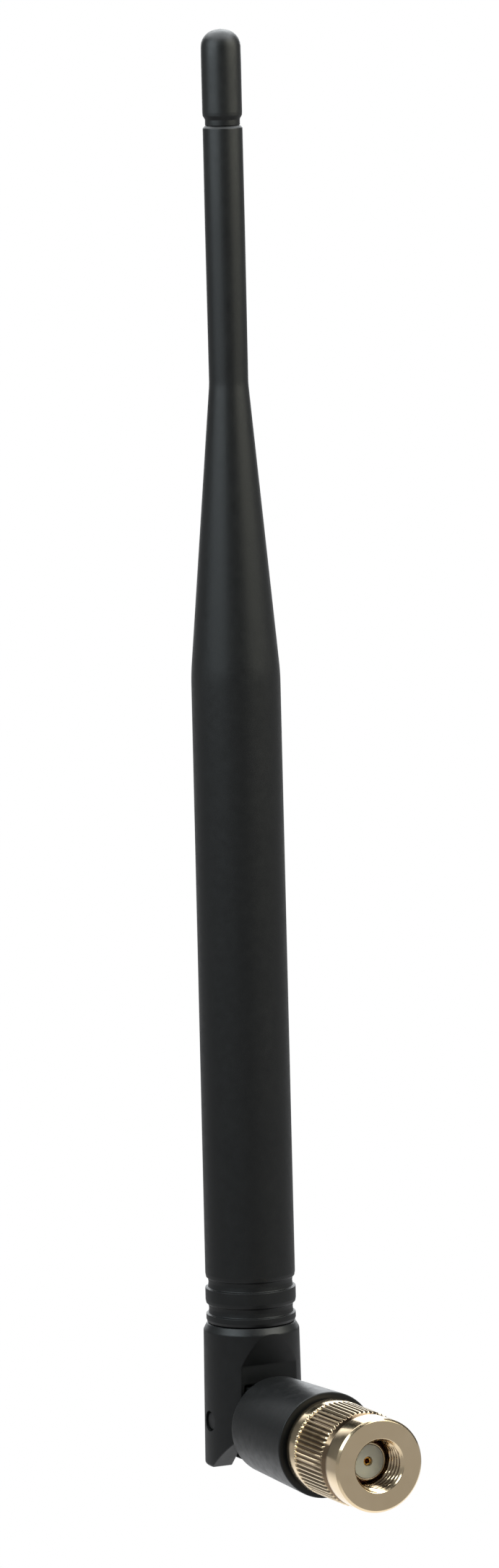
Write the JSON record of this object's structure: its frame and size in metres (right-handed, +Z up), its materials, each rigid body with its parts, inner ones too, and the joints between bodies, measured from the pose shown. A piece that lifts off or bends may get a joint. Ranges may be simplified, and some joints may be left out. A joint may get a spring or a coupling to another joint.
{
  "type": "omnidirectional antenna",
  "caption": "Black tapered dipole antenna on a folding hinge and a swivelling elbow, ending in a knurled coaxial screw connector.",
  "frame": {"origin": "centre of the connector's mating plane, on the connector's axis, where the mating jack's outer conductor stops", "axes": "+Z up the mast as it stands folded at a right angle, -Y out of the connector towards the mating jack, X along the hinge pins"},
  "size_m": [0.0128, 0.0395, 0.1724],
  "materials": {
    "black_plastic": "satin moulded black",
    "nickel": "bright nickel plate with a warm tint",
    "brass": "bare brass",
    "steel": "plain steel",
    "copper": "bare copper",
    "gold": "gold plate",
    "tin": "tinned braid and solder",
    "ptfe": "waxy white",
    "cable_jacket": "translucent brown fluoropolymer",
    "rubber": "silicone rubber",
    "nylon": "natural nylon",
    "shrink_tube": "shrunk tubing"
  },
  "bodies": {
    "connector": {"connector_body": "nickel", "ptfe_insulator": "ptfe", "contact_socket": "gold", "gasket": "rubber", "nut_snap_ring": "steel", "thrust_washer": "nylon", "swivel_clip": "steel", "crimp_ferrule": "nickel", "coax_tail_jacket": "cable_jacket", "coax_tail_core": "ptfe"},
    "nut": {"coupling_nut": "nickel"},
    "elbow": {"knuckle": "black_plastic", "swivel_bush": "brass", "coax_hinge_bend": "cable_jacket"},
    "mast": {"tip_cap": "black_plastic", "radome": "black_plastic", "clevis": "black_plastic", "hinge_pin_left": "steel", "hinge_pin_right": "steel", "cable_grommet": "rubber", "coax_jacket": "cable_jacket", "coax_braid": "tin", "coax_dielectric": "ptfe", "coax_conductor": "copper", "sleeve_element": "brass", "solder_ring": "tin", "feed_heat_shrink": "shrink_tube", "lower_radiator": "copper", "phasing_coil": "copper", "coil_former": "nylon", "top_radiator": "copper", "spacer_lower": "nylon", "spacer_middle": "nylon", "spacer_upper": "nylon", "wire_end_sleeve": "nylon"}
  },
  "joints": [
    {"name": "nut_spin", "type": "hinge", "parent": "connector", "child": "nut", "pos_m": [0, 0, 0], "axis": [0, -1, 0], "continuous": true},
    {"name": "elbow_swivel", "type": "hinge", "parent": "connector", "child": "elbow", "pos_m": [0, 0.0155, 0], "axis": [0, -1, 0], "range_deg": [-180, 180]},
    {"name": "mast_tilt", "type": "hinge", "parent": "elbow", "child": "mast", "pos_m": [0, 0.0306, 0], "axis": [-1, 0, 0], "range_deg": [0, 90], "deforming": ["coax_hinge_bend"]}
  ]
}
